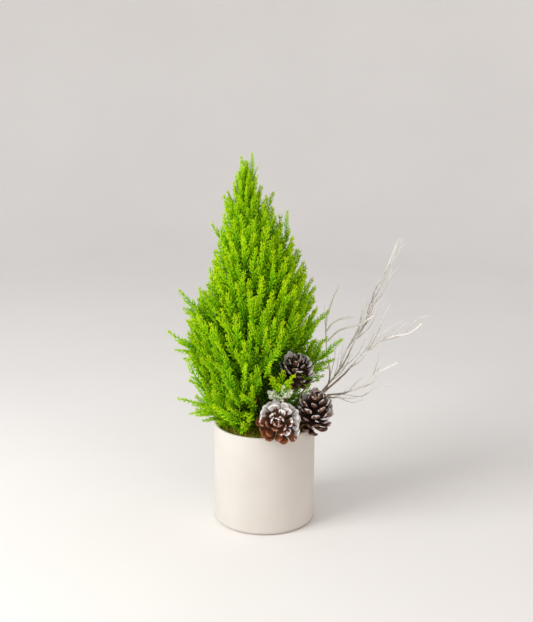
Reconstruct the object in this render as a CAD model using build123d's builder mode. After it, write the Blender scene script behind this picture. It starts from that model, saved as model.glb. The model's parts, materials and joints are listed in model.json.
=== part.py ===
from build123d import *

# An artificial tabletop tree: a conifer of wired sprays, made up in a cover pot with three pine
# cones, a frosted sprig and a fan of pale twigs.
#
# Millimetres. The origin is the centre of the face that the pot stands on, +Z is up, +X is to the
# right and -Y is towards the front.

import os
from math import cos, radians, sin

os.makedirs("parts", exist_ok=True)

# Cover pot
POT_RADIUS = 75.0
POT_HEIGHT = 150.0
POT_WALL = 5.0
POT_FLOOR = 6.0
POT_FOOT_ROUND = 5.0
POT_RIM_ROUND = 2.2

# Liner pot and what fills it
LINER_FOOT_RADIUS = 50.0
LINER_TOP_RADIUS = 62.0
LINER_HEIGHT = 126.0
LINER_WALL = 1.6
LINER_LIP_RADIUS = 65.0
LINER_LIP_HEIGHT = 5.0
BALLAST_TOP = 46.0
MOSS_RADIUS = 68.4
MOSS_EDGE_TOP = 141.0
MOSS_CROWN_TOP = 148.0

# Trunk: a slim tapered stem that leans a little to the left
TRUNK_FOOT = Vector(-4, 0, 14)
TRUNK_TOP = Vector(-21, 0, 462)
TRUNK_FOOT_RADIUS = 6.5
TRUNK_TOP_RADIUS = 2.6
TRUNK_TAPER = 0.9
TRUNK_LENGTHS = 10

# Crown: its radius about the trunk at a few heights, skirt to tip
CROWN_OUTLINE = ((150, 72), (200, 90), (290, 108), (350, 86), (400, 62), (470, 36), (520, 12))

# Whorls of branches: the height of their roots, the height of their tips, how many there are, and
# the arc that they fill. The low whorls leave the front right open for the cones and the twigs.
WHORLS = {
    "skirt": (163, 178, 5, 28, 262),
    "lower": (174, 216, 5, 16, 260),
    "mid": (197, 262, 6, 12, 282),
    "belly": (228, 308, 5, 0, 280),
    "upper": (268, 352, 4, 42, 308),
    "crest": (312, 396, 3, 0, 240),
    "crown": (352, 434, 3, 60, 300),
    "top": (396, 474, 2, 20, 200),
}
ROOT_STAGGER = 5.0
LEADER_TIP = Vector(-17, 0, 545)

# Loose sprays, which stand out of the crown: the height of the root on the trunk, and the tip
LOOSE_SPRAYS = {
    "loose_spray_left_high": (250, Vector(-122, -14, 350)),
    "loose_spray_left_mid": (210, Vector(-137, -22, 292)),
    "loose_spray_left_low": (156, Vector(-128, 8, 180)),
    "loose_spray_right": (168, Vector(112, -8, 276)),
}

STEM_RADIUS = 1.2
SPRAY_SLIMNESS = 0.066
SPRAY_BARE_SHARE = 0.28
SOCKET_DEPTH_SHARE = 0.5
BALL_RADIUS = 1.7
BALL_CLEARANCE = 0.4

# Pine cones: centre, the way the tip points, radius, length, and the foot of the stick
PINE_CONES = {
    "cone_front": (Vector(20, -77, 175), Vector(-0.05, -0.95, 0.30), 31.0, 58.0, Vector(9, -32, 98)),
    "cone_right": (Vector(71.5, -43, 183), Vector(0.15, -0.45, 0.88), 27.5, 72.0, Vector(22, -15, 96)),
    "cone_upper": (Vector(46.5, -37, 243), Vector(0.10, -0.50, 0.86), 25.0, 52.0, Vector(14, -3, 118)),
}
CONE_TIERS = 7
CONE_TIER_DEPTH = 3.0
CONE_RIM_GAP = 0.5
PICK_RADIUS = 1.2
PICK_POINT = 6.0
PICK_CLEARANCE = 0.35

# Frosted sprig
SPRIG_FOOT = Vector(12, -24, 106)
SPRIG_NECK = Vector(16, -47, 206)
SPRIG_LENGTH = 44.0
SPRIG_RADIUS = 8.0

# Twigs: a bundle on one stick, then a fan. Each twig has its place round the bundle, its radius,
# the points that it passes after the neck, and any side shoots.
BUNDLE_FOOT = Vector(38, 8, 112)
BUNDLE_NECK = Vector(80, 12, 178)
BUNDLE_RING = 3.5
TWIG_BEND = 12.0
TIE_LENGTH = 9.0
TIE_BELOW_NECK = 6.0
TIE_THICKNESS = 0.5
TIE_CLEARANCE = 0.05
TWIGS = {
    "twig_low": (300, 1.3, ((118, 9, 190), (138, 5, 198), (157, 2, 211), (165, 0, 224), (200, -6, 244)),
                 (((128, 6, 192), (138, 9, 208), (147, 10, 214)),)),
    "twig_right": (0, 1.3, ((115, 14, 214), (137, 16, 238), (160, 17, 259), (187, 15, 275), (233, 8, 299)),
                   (((150, 17, 250), (163, 21, 268), (171, 23, 279)),)),
    "twig_tall": (60, 1.2, ((112, 20, 222), (135, 30, 265), (153, 40, 301), (166, 47, 335), (184, 54, 375),
                            (198, 60, 412)),
                  ()),
    "twig_mid": (120, 1.1, ((108, 24, 216), (126, 38, 254), (146, 46, 290), (156, 54, 326)), ()),
    "twig_left": (180, 1.1, ((98, 24, 208), (94, 36, 245), (93, 42, 290), (101, 42, 322), (112, 40, 349)),
                  (((93, 40, 276), (104, 39, 291), (121, 36, 299), (137, 33, 300)),
                   ((94, 38, 262), (112, 30, 281), (140, 22, 292), (164, 16, 310)))),
    "twig_short": (240, 1.0, ((104, 0, 186), (117, -6, 187), (128, -9, 188), (141, -12, 191)), ()),
}


def point_on_trunk(height):
    """The point of the trunk's axis at a height."""
    share = (height - TRUNK_FOOT.Z) / (TRUNK_TOP.Z - TRUNK_FOOT.Z)
    return TRUNK_FOOT + (TRUNK_TOP - TRUNK_FOOT) * share


def trunk_radius(height):
    """The trunk's radius at a height, which falls off fastest near the foot."""
    share = (height - TRUNK_FOOT.Z) / (TRUNK_TOP.Z - TRUNK_FOOT.Z)
    return TRUNK_FOOT_RADIUS + (TRUNK_TOP_RADIUS - TRUNK_FOOT_RADIUS) * share**TRUNK_TAPER


def crown_radius(height):
    """The crown's radius at a height, between the points of its outline."""
    for (low, low_radius), (high, high_radius) in zip(CROWN_OUTLINE, CROWN_OUTLINE[1:]):
        if height <= high:
            return low_radius + (high_radius - low_radius) * (height - low) / (high - low)
    return CROWN_OUTLINE[-1][1]


def profile_plane(start, along):
    """A plane through an axis: its Y runs along the axis from start, and its X stands off it."""
    side = along.cross(Vector(0, 0, 1)).normalized()
    return Plane(origin=start, x_dir=side, z_dir=side.cross(along))


def save(part, name):
    """Label a finished part and write it."""
    part.label = name
    export_step(part, f"parts/{name}.step")


def make_spray(root, tip, with_ball=False):
    """A wired spray: a bare stem, then a slim spindle of foliage that ends in a point."""
    along = (tip - root).normalized()
    length = (tip - root).length
    bare = length * SPRAY_BARE_SHARE
    widest = length * SPRAY_SLIMNESS + STEM_RADIUS
    with BuildPart() as spray:
        with BuildSketch(profile_plane(root, along)):
            with BuildLine():
                Polyline((0, 0), (STEM_RADIUS, 0), (STEM_RADIUS, bare))
                Spline((STEM_RADIUS, bare), (widest, (bare + length) / 2), (0, length))
                Line((0, length), (0, 0))
            make_face()
        revolve(axis=Axis(root, along))
        if with_ball:
            with Locations(root):
                Sphere(BALL_RADIUS)
    return spray.part


def make_stick(start, end, radius):
    """A round stick from start to end, sharpened at its end."""
    along = (end - start).normalized()
    length = (end - start).length
    with BuildPart() as stick:
        with BuildSketch(profile_plane(start, along)):
            Polygon((0, 0), (radius, 0), (radius, length - PICK_POINT), (0, length), align=None)
        revolve(axis=Axis(start, along))
    return stick.part


def make_twig(route, radius, shoots):
    """A twig along its route, with any side shoots that fork from it."""
    with BuildPart() as twig:
        for points in (route, *shoots):
            with BuildLine() as path:
                FilletPolyline(*points, radius=TWIG_BEND)
            with BuildSketch(Plane(origin=path.line @ 0, z_dir=path.line % 0)):
                Circle(radius)
            sweep(path=path.line)
    return twig.part


# Branches, in whorls up the trunk, with their tips on the crown's outline
sprays = {}
for whorl, (root_height, tip_height, count, first_angle, last_angle) in WHORLS.items():
    for number in range(count):
        angle = radians(first_angle + (last_angle - first_angle) * number / (count - 1))
        outward = Vector(cos(angle), sin(angle), 0)
        height = root_height + ROOT_STAGGER * (number % 2)
        root = point_on_trunk(height) + outward * (trunk_radius(height) * SOCKET_DEPTH_SHARE)
        tip = point_on_trunk(tip_height) + outward * crown_radius(tip_height)
        sprays[f"{whorl}_branch_{number + 1}"] = make_spray(root, tip)

# The leader carries on from the top of the trunk
leader = make_spray(TRUNK_TOP, LEADER_TIP)

# Loose sprays, each on a ball that turns in a dimple of the trunk
loose_roots = {}
for name, (root_height, tip) in LOOSE_SPRAYS.items():
    flat_way = Vector(tip.X, tip.Y, 0) - Vector(point_on_trunk(root_height).X, 0, 0)
    root = point_on_trunk(root_height) + flat_way.normalized() * trunk_radius(root_height)
    loose_roots[name] = root
    sprays[name] = make_spray(root, tip, with_ball=True)

# Trunk, in tapered lengths, with a socket for each branch and a dimple for each ball
with BuildPart() as trunk:
    trunk_way = TRUNK_TOP - TRUNK_FOOT
    trunk_outline = [(0, 0)]
    for step in range(TRUNK_LENGTHS + 1):
        share = step / TRUNK_LENGTHS
        height = TRUNK_FOOT.Z + (TRUNK_TOP.Z - TRUNK_FOOT.Z) * share
        trunk_outline.append((trunk_radius(height), trunk_way.length * share))
    trunk_outline.append((0, trunk_way.length))
    with BuildSketch(profile_plane(TRUNK_FOOT, trunk_way.normalized())):
        Polygon(*trunk_outline, align=None)
    revolve(axis=Axis(TRUNK_FOOT, trunk_way))
    for name, spray in sprays.items():
        if name not in loose_roots:
            add(spray, mode=Mode.SUBTRACT)
    for root in loose_roots.values():
        with Locations(root):
            Sphere(BALL_RADIUS + BALL_CLEARANCE, mode=Mode.SUBTRACT)

# Cover pot: a straight cylinder, rounded at the foot and the rim
with BuildPart() as cover_pot:
    with BuildSketch(Plane.XZ):
        with BuildLine():
            inner_radius = POT_RADIUS - POT_WALL
            FilletPolyline((0, 0), (POT_RADIUS, 0), (POT_RADIUS, POT_HEIGHT / 2), radius=POT_FOOT_ROUND)
            FilletPolyline((POT_RADIUS, POT_HEIGHT / 2), (POT_RADIUS, POT_HEIGHT), (inner_radius, POT_HEIGHT),
                           (inner_radius, POT_FLOOR), radius=POT_RIM_ROUND)
            Polyline((inner_radius, POT_FLOOR), (0, POT_FLOOR), (0, 0))
        make_face()
    revolve()

# Liner pot: a thin tapered pot with a lip, standing on the cover pot's floor
liner_top = POT_FLOOR + LINER_HEIGHT
liner_inner_foot = LINER_FOOT_RADIUS - LINER_WALL
liner_inner_top = LINER_TOP_RADIUS - LINER_WALL
with BuildPart() as liner_pot:
    with BuildSketch(Plane.XZ):
        Polygon((0, POT_FLOOR), (LINER_FOOT_RADIUS, POT_FLOOR), (LINER_TOP_RADIUS, liner_top - LINER_LIP_HEIGHT),
                (LINER_LIP_RADIUS, liner_top - LINER_LIP_HEIGHT), (LINER_LIP_RADIUS, liner_top),
                (liner_inner_top, liner_top), (liner_inner_foot, POT_FLOOR + LINER_WALL),
                (0, POT_FLOOR + LINER_WALL), align=None)
    revolve()

# Sticks of the cones, the sprig and the twigs
cone_sticks = {}
for name, (centre, tip_way, radius, length, foot) in PINE_CONES.items():
    cone_sticks[name] = make_stick(centre, foot, PICK_RADIUS)
twig_stick = make_stick(BUNDLE_NECK, BUNDLE_FOOT, PICK_RADIUS)
bundle_way = (BUNDLE_NECK - BUNDLE_FOOT).normalized()
bundle_radius = BUNDLE_RING + max(radius for _, radius, _, _ in TWIGS.values())

# The holes that they stand in
with BuildPart() as stick_holes:
    straight_holes = [(centre, foot) for centre, _, _, _, foot in PINE_CONES.values()]
    straight_holes.append((SPRIG_NECK, SPRIG_FOOT))
    for top, foot in straight_holes:
        way = (top - foot).normalized()
        with Locations(Plane(origin=foot, z_dir=way)):
            Cylinder(PICK_RADIUS + PICK_CLEARANCE, (top - foot).length,
                     align=(Align.CENTER, Align.CENTER, Align.MIN))
    with Locations(Plane(origin=BUNDLE_FOOT, z_dir=bundle_way)):
        Cylinder(bundle_radius + PICK_CLEARANCE, (BUNDLE_NECK - BUNDLE_FOOT).length,
                 align=(Align.CENTER, Align.CENTER, Align.MIN))


def liner_inner_radius(height):
    """The liner's inner radius at a height."""
    share = (height - POT_FLOOR - LINER_WALL) / (LINER_HEIGHT - LINER_WALL)
    return liner_inner_foot + (liner_inner_top - liner_inner_foot) * share


# Cement in the foot of the liner, and dry foam above it
with BuildPart() as cement_ballast:
    with BuildSketch(Plane.XZ):
        Polygon((0, POT_FLOOR + LINER_WALL), (liner_inner_foot, POT_FLOOR + LINER_WALL),
                (liner_inner_radius(BALLAST_TOP), BALLAST_TOP), (0, BALLAST_TOP), align=None)
    revolve()
    add(trunk.part, mode=Mode.SUBTRACT)

with BuildPart() as foam_block:
    with BuildSketch(Plane.XZ):
        Polygon((0, BALLAST_TOP), (liner_inner_radius(BALLAST_TOP), BALLAST_TOP), (liner_inner_top, liner_top),
                (0, liner_top), align=None)
    revolve()
    add(trunk.part, mode=Mode.SUBTRACT)
    add(stick_holes.part, mode=Mode.SUBTRACT)

# Moss, a low dome over the foam and the liner's lip
with BuildPart() as moss_mat:
    with BuildSketch(Plane.XZ):
        with BuildLine():
            Polyline((0, MOSS_CROWN_TOP), (0, liner_top), (MOSS_RADIUS, liner_top), (MOSS_RADIUS, MOSS_EDGE_TOP))
            Spline((MOSS_RADIUS, MOSS_EDGE_TOP), (MOSS_RADIUS / 2, MOSS_CROWN_TOP - 1.5), (0, MOSS_CROWN_TOP))
        make_face()
    revolve()
    add(trunk.part, mode=Mode.SUBTRACT)
    add(stick_holes.part, mode=Mode.SUBTRACT)

# Pine cones: an egg with a step for each tier of scales
for name, (centre, tip_way, radius, length, foot) in PINE_CONES.items():
    tip_way = tip_way.normalized()
    base = centre - tip_way * (length / 2)
    tiers = [(0, 0)]
    for tier in range(CONE_TIERS):
        low = length * tier / CONE_TIERS
        high = length * (tier + 1) / CONE_TIERS
        fullness = sin(radians(180 * (tier + 0.8) / (CONE_TIERS + 1.2))) ** 0.6
        tiers.append((radius * fullness - CONE_TIER_DEPTH, low))
        tiers.append((radius * fullness, high))
    tiers.append((0, length))
    with BuildPart() as pine_cone:
        with BuildSketch(profile_plane(base, tip_way)):
            Polygon(*tiers, align=None)
        revolve(axis=Axis(base, tip_way))
        add(cone_sticks[name], mode=Mode.SUBTRACT)
        Cylinder(POT_RADIUS + CONE_RIM_GAP, POT_HEIGHT + CONE_RIM_GAP,
                 align=(Align.CENTER, Align.CENTER, Align.MIN), mode=Mode.SUBTRACT)
    save(pine_cone.part, name)
    save(cone_sticks[name], f"{name}_pick")

# Frosted sprig: a fat little spray on its own stick
sprig_way = (SPRIG_NECK - SPRIG_FOOT).normalized()
sprig_tip = SPRIG_NECK + sprig_way * SPRIG_LENGTH
sprig_length = (sprig_tip - SPRIG_FOOT).length
with BuildPart() as frosted_sprig:
    with BuildSketch(profile_plane(SPRIG_FOOT, sprig_way)):
        with BuildLine():
            neck = sprig_length - SPRIG_LENGTH
            Polyline((0, sprig_length), (0, 0), (PICK_RADIUS, PICK_POINT), (PICK_RADIUS, neck))
            Spline((PICK_RADIUS, neck), (SPRIG_RADIUS, neck + SPRIG_LENGTH / 2), (0, sprig_length))
        make_face()
    revolve(axis=Axis(SPRIG_FOOT, sprig_way))
save(frosted_sprig.part, "frosted_sprig")

# Twigs, spaced round the stick up to the neck and fanned out above it
ring_plane = Plane(origin=BUNDLE_FOOT, z_dir=bundle_way)
for name, (place, radius, fan, shoots) in TWIGS.items():
    offset = ring_plane.x_dir * (BUNDLE_RING * cos(radians(place)))
    offset += ring_plane.y_dir * (BUNDLE_RING * sin(radians(place)))
    route = [BUNDLE_FOOT + offset, BUNDLE_NECK + offset, *fan]
    save(make_twig(route, radius, shoots), name)
save(twig_stick, "twig_pick")

with BuildPart() as twig_tie:
    tie_foot = BUNDLE_NECK - bundle_way * (TIE_LENGTH + TIE_BELOW_NECK)
    with Locations(Plane(origin=tie_foot, z_dir=bundle_way)):
        tie_inner = bundle_radius + TIE_CLEARANCE
        Cylinder(tie_inner + TIE_THICKNESS, TIE_LENGTH, align=(Align.CENTER, Align.CENTER, Align.MIN))
        Cylinder(tie_inner, TIE_LENGTH, align=(Align.CENTER, Align.CENTER, Align.MIN), mode=Mode.SUBTRACT)
save(twig_tie.part, "twig_tie")

save(cover_pot.part, "cover_pot")
save(liner_pot.part, "liner_pot")
save(cement_ballast.part, "cement_ballast")
save(foam_block.part, "foam_block")
save(moss_mat.part, "moss_mat")
save(trunk.part, "trunk")
save(leader, "leader")
for name, spray in sprays.items():
    save(spray, name)
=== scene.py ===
"""The looks of the artificial tabletop tree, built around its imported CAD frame."""

import json
import math

import bpy
import numpy as np
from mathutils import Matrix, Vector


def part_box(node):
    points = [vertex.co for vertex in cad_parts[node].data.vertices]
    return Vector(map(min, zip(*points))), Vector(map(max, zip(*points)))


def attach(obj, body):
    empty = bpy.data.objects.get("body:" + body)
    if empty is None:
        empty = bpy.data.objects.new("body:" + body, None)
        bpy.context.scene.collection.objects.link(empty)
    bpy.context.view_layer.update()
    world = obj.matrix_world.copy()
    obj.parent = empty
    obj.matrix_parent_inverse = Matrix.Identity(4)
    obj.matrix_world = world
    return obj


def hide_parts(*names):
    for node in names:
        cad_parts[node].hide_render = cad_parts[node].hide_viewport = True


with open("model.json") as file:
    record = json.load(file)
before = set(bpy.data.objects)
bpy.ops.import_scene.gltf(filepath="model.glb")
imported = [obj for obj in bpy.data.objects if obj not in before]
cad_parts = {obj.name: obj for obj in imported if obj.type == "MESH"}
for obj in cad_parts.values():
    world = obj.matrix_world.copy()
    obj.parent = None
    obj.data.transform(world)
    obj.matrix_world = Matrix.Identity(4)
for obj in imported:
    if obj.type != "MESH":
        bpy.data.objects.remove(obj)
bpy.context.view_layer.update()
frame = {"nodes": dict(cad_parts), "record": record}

MM = 0.001
UP = np.array((0.0, 0.0, 1.0))
GOLDEN_ANGLE = math.radians(137.50776)
BAKE_LAYER = "OFBake"
NODES = frame["nodes"]
BODY_OF = {node: body for body, members in frame["record"]["behaviour"]["bodies"].items() for node in members}


# ---------------------------------------------------------------- small geometry

def unit(vectors):
    """Vectors scaled to length one, along the last axis."""
    lengths = np.linalg.norm(vectors, axis=-1, keepdims=True)
    return vectors / np.maximum(lengths, 1e-12)


def blend_step(value, low, high):
    """0 below low, 1 above high, and smooth between."""
    share = np.clip((value - low) / (high - low), 0, 1)
    return share * share * (3 - 2 * share)


def level_ways(angles):
    """Level directions at angles round the vertical."""
    return np.stack((np.cos(angles), np.sin(angles), np.zeros(len(angles))), 1)


def segment_gap(points, start, end):
    """Each point's distance from a line segment, and how far along it the nearest place is."""
    way = end - start
    share = np.clip(((points - start) @ way) / (way @ way), 0, 1)
    return np.linalg.norm(points - (start + share[:, None] * way), axis=1), share


def node_points(name):
    """A CAD node's vertices, in metres."""
    mesh = NODES[name].data
    flat = np.empty(len(mesh.vertices) * 3)
    mesh.vertices.foreach_get("co", flat)
    return flat.reshape(-1, 3)


class Geometry:
    """Triangles gathered from many small shapes, with one pair of bake coordinates a vertex."""

    def __init__(self):
        self.points, self.triangles, self.marks, self.count = [], [], [], 0

    def add(self, points, triangles, marks):
        self.points.append(points)
        self.triangles.append(triangles + self.count)
        self.marks.append(marks)
        self.count += len(points)

    def arrays(self):
        return np.concatenate(self.points), np.concatenate(self.triangles), np.concatenate(self.marks)


def ring_triangles(rings, sides):
    """Triangles of a closed form: a first point, rings of points one after another, and a last point."""
    turn = np.arange(sides)
    following = (turn + 1) % sides
    parts = [np.stack((np.zeros(sides, int), 1 + following, 1 + turn), 1)]
    for ring in range(rings - 1):
        low = 1 + ring * sides
        high = low + sides
        parts.append(np.stack((low + turn, low + following, high + following), 1))
        parts.append(np.stack((low + turn, high + following, high + turn), 1))
    last = 1 + (rings - 1) * sides
    parts.append(np.stack((last + turn, last + following, np.full(sides, last + sides)), 1))
    return np.concatenate(parts)


def closed_tubes(lines, side_radii, rise_radii, sides, rise_way=None):
    """Closed tubes along many lines at once: a point at each end, and an oval ring at each point between.

    lines is (tubes, points, 3) and the radii are (tubes, points). Returns points, triangles, and each
    vertex's share of the way along its tube."""
    tubes, stations, _ = lines.shape
    along = unit(np.gradient(lines, axis=1))
    if rise_way is None:
        rise_way = np.where(np.abs(along[:, :1, 2:]) > 0.9, (1.0, 0.0, 0.0), (0.0, 0.0, 1.0))
    side = unit(np.cross(along, np.broadcast_to(rise_way, along.shape)))
    rise = np.cross(side, along)
    angles = np.arange(sides) * 2 * math.pi / sides
    inner = slice(1, stations - 1)
    rings = (lines[:, inner, None]
             + side[:, inner, None] * (side_radii[:, inner, None] * np.cos(angles))[..., None]
             + rise[:, inner, None] * (rise_radii[:, inner, None] * np.sin(angles))[..., None])
    points = np.concatenate((lines[:, :1], rings.reshape(tubes, -1, 3), lines[:, -1:]), axis=1)
    first_points = np.arange(tubes) * points.shape[1]
    triangles = (ring_triangles(stations - 2, sides)[None] + first_points[:, None, None]).reshape(-1, 3)
    way = np.concatenate(([0], np.repeat(np.linspace(0, 1, stations)[inner], sides), [1]))
    return points.reshape(-1, 3), triangles, np.tile(way, tubes)


def make_mesh(name, points, triangles, marks=None):
    """A smooth mesh object from arrays, with marks as its bake coordinates."""
    mesh = bpy.data.meshes.new(name)
    mesh.vertices.add(len(points))
    mesh.vertices.foreach_set("co", np.ascontiguousarray(points, np.float32).ravel())
    mesh.loops.add(len(triangles) * 3)
    mesh.loops.foreach_set("vertex_index", np.ascontiguousarray(triangles, np.int32).ravel())
    mesh.polygons.add(len(triangles))
    mesh.polygons.foreach_set("loop_start", np.arange(0, len(triangles) * 3, 3, dtype=np.int32))
    mesh.polygons.foreach_set("use_smooth", np.ones(len(triangles), bool))
    mesh.update(calc_edges=True)
    mesh.validate()
    if marks is not None:
        layer = mesh.uv_layers.new(name=BAKE_LAYER)
        corners = np.empty(len(mesh.loops), np.int32)
        mesh.loops.foreach_get("vertex_index", corners)
        layer.data.foreach_set("uv", np.ascontiguousarray(marks[corners], np.float32).ravel())
    piece = bpy.data.objects.new(name, mesh)
    bpy.context.scene.collection.objects.link(piece)
    return piece


def add_values(piece, name, values):
    """A float on each vertex, for a material to read."""
    piece.data.attributes.new(name, "FLOAT", "POINT").data.foreach_set("value", values.astype(np.float32))


# ---------------------------------------------------------------- materials

class Shader:
    """A node material, built a node at a time around one Principled BSDF."""

    def __init__(self, name, **settings):
        self.material = bpy.data.materials.new(name)
        self.material.use_nodes = True
        self.tree = self.material.node_tree
        self.surface = self.tree.nodes["Principled BSDF"]
        for socket, value in settings.items():
            self.surface.inputs[socket.replace("_", " ")].default_value = value

    def node(self, kind, links=None, **settings):
        made = self.tree.nodes.new(kind)
        for key, value in settings.items():
            setattr(made, key, value)
        for socket, source in (links or {}).items():
            if hasattr(source, "is_linked"):
                self.tree.links.new(source, made.inputs[socket])
            else:
                made.inputs[socket].default_value = source
        return made

    def place(self):
        return self.node("ShaderNodeTexCoord").outputs["Object"]

    def noise(self, scale, detail=4, roughness=0.55, place=None):
        links = {"Vector": place or self.place(), "Scale": scale, "Detail": detail, "Roughness": roughness}
        return self.node("ShaderNodeTexNoise", links).outputs["Fac"]

    def ramp(self, factor, *stops):
        made = self.node("ShaderNodeValToRGB", {"Fac": factor})
        elements = made.color_ramp.elements
        for _ in range(len(stops) - 2):
            elements.new(0.5)
        for element, (position, colour) in zip(elements, stops):
            element.position = position
            element.color = (*colour, 1)
        return made.outputs["Color"]

    def mix(self, factor, first, second):
        made = self.node("ShaderNodeMix", data_type="RGBA")
        for socket, source in zip((made.inputs[0], made.inputs[6], made.inputs[7]), (factor, first, second)):
            if hasattr(source, "is_linked"):
                self.tree.links.new(source, socket)
            else:
                socket.default_value = source if isinstance(source, float) else (*source, 1)
        return made.outputs[2]

    def math(self, operation, first, second=0.0, third=0.0):
        return self.node("ShaderNodeMath", {0: first, 1: second, 2: third}, operation=operation).outputs[0]

    def spread(self, value, low, high, to_low=0.0, to_high=1.0):
        links = {"Value": value, "From Min": low, "From Max": high, "To Min": to_low, "To Max": to_high}
        return self.node("ShaderNodeMapRange", links).outputs["Result"]

    def bake_marks(self):
        """The pair of bake coordinates, together and one by one."""
        marks = self.node("ShaderNodeUVMap", uv_map=BAKE_LAYER).outputs["UV"]
        parts = self.node("ShaderNodeSeparateXYZ", {"Vector": marks}).outputs
        return marks, parts["X"], parts["Y"]

    def stretched(self, place, scale):
        return self.node("ShaderNodeMapping", {"Vector": place, "Scale": scale}).outputs["Vector"]

    def value_of(self, attribute):
        return self.node("ShaderNodeAttribute", attribute_name=attribute).outputs["Fac"]

    def finish(self, colour, roughness=None, height=None, strength=0.3, distance=0.0005):
        self.tree.links.new(colour, self.surface.inputs["Base Color"])
        if roughness is not None:
            self.tree.links.new(roughness, self.surface.inputs["Roughness"])
        if height is not None:
            bump = self.node("ShaderNodeBump", {"Height": height, "Strength": strength, "Distance": distance})
            self.tree.links.new(bump.outputs["Normal"], self.surface.inputs["Normal"])
        return self.material


def foliage_material(name, snow=False):
    """Scale leaves: deep green on old growth to lime at the tips, in bake coordinates (age, tone). The tone
    mixes a shaded and a lit set of the same greens: random variety plus painted shade and painted light.
    """
    shader = Shader(name, Specular_IOR_Level=0.14)
    marks, age, tone = shader.bake_marks()
    # painted shade and painted light: dark is the shaded set and bright the lit set of one green, mixed by
    # tone
    dark = shader.ramp(age, (0.0, (0.10, 0.055, 0.015)), (0.12, (0.014, 0.11, 0.001)),
                       (0.50, (0.042, 0.36, 0.001)), (1.0, (0.25, 0.66, 0.001)))
    bright = shader.ramp(age, (0.0, (0.16, 0.09, 0.02)), (0.12, (0.07, 0.28, 0.001)),
                         (0.50, (0.28, 0.70, 0.001)), (1.0, (0.84, 0.96, 0.002)))
    colour = shader.mix(tone, dark, bright)
    scales = shader.node("ShaderNodeTexNoise", {"Vector": marks, "Scale": 60.0, "Detail": 2.0}).outputs["Fac"]
    colour = shader.mix(shader.spread(scales, 0.35, 0.7, 0.0, 0.22), colour, (0.48, 0.60, 0.005))
    roughness = shader.spread(scales, 0.3, 0.7, 0.55, 0.75)
    if snow:
        uneven = shader.math("ADD", age, shader.spread(scales, 0.3, 0.7, -0.08, 0.08))
        colour = shader.mix(shader.spread(uneven, 0.50, 0.60), colour, (0.96, 0.97, 0.84))
        roughness = shader.spread(age, 0.6, 0.8, 0.5, 0.85)
    return shader.finish(colour, roughness, scales, strength=0.25, distance=0.0002)


def ceramic_material():
    """Matte white glaze: faint warm mottling, a fine orange-peel surface, and darker over its lowest few
    millimetres.
    """
    shader = Shader("matte_glaze", Specular_IOR_Level=0.4, Coat_Weight=0.06, Coat_Roughness=0.45)
    broad = shader.noise(14.0, 3)
    fine = shader.noise(420.0, 2)
    height = shader.node("ShaderNodeSeparateXYZ", {"Vector": shader.place()}).outputs["Z"]
    base = shader.mix(shader.spread(broad, 0.35, 0.65), (0.662, 0.625, 0.578), (0.697, 0.665, 0.618))
    specks = shader.spread(shader.noise(900.0, 1), 0.74, 0.80, 0.0, 0.35)
    base = shader.mix(specks, base, (0.50, 0.47, 0.42))
    # darker towards the bottom: the lowest 6 mm fade to a darker beige
    foot = shader.spread(height, 0.0, 0.006, 1.0, 0.0)
    base = shader.mix(foot, base, (0.55, 0.51, 0.46))
    roughness = shader.spread(fine, 0.3, 0.7, 0.46, 0.58)
    bumps = shader.math("ADD", shader.math("MULTIPLY", broad, 1.5), fine)
    return shader.finish(base, roughness, bumps, strength=0.12, distance=0.0004)


def cone_material(name, frost_cover, wood_colour):
    """Pine scales: dark wood to near black at the core, partly their own darker wood and partly painted shade
    deep between the scales, rust to brown at the ends, with sprayed frost where it settled.
    """
    shader = Shader(name, Specular_IOR_Level=0.3)
    end = shader.value_of("reach")
    grain = shader.noise(650.0, 5, 0.65)
    blotch = shader.noise(120.0, 3)
    on_scale = shader.node("ShaderNodeCombineXYZ", {"X": shader.value_of("across"), "Y": end,
                                                    "Z": shader.value_of("owner")}).outputs["Vector"]
    fibres = shader.noise(1.0, 4, 0.65, shader.stretched(on_scale, (3.4, 1.1, 7.3)))
    # the ramp's dark, near-black start at the scales' roots is partly darker wood and partly painted shade
    # between the scales
    wood = shader.ramp(end, (0.0, (0.012, 0.006, 0.004)), (0.4, tuple(0.22 * part for part in wood_colour)),
                       (0.74, wood_colour), (1.0, tuple(0.75 * part for part in wood_colour)))
    wood = shader.mix(shader.spread(grain, 0.35, 0.7, 0.0, 0.35), wood, (0.05, 0.022, 0.012))
    wood = shader.mix(shader.spread(fibres, 0.45, 0.62, 0.0, 0.6), wood, (0.06, 0.025, 0.013))
    settled = shader.value_of("frost")
    patchy = shader.math("ADD", settled, shader.spread(blotch, 0.3, 0.7, -0.22, 0.22))
    patchy = shader.math("ADD", patchy, shader.spread(grain, 0.3, 0.7, -0.22, 0.22))
    patchy = shader.math("ADD", patchy, shader.spread(fibres, 0.38, 0.62, 0.16, -0.42))
    cover = shader.spread(patchy, 0.34, 0.66, 0.0, frost_cover)
    colour = shader.mix(cover, wood, (0.93, 0.92, 0.92))
    roughness = shader.spread(cover, 0.0, 1.0, 0.55, 0.9)
    heights = shader.math("ADD", shader.math("ADD", grain, shader.math("MULTIPLY", fibres, -1.2)),
                          shader.math("MULTIPLY", cover, 0.8))
    return shader.finish(colour, roughness, heights, strength=0.5, distance=0.0006)


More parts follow.
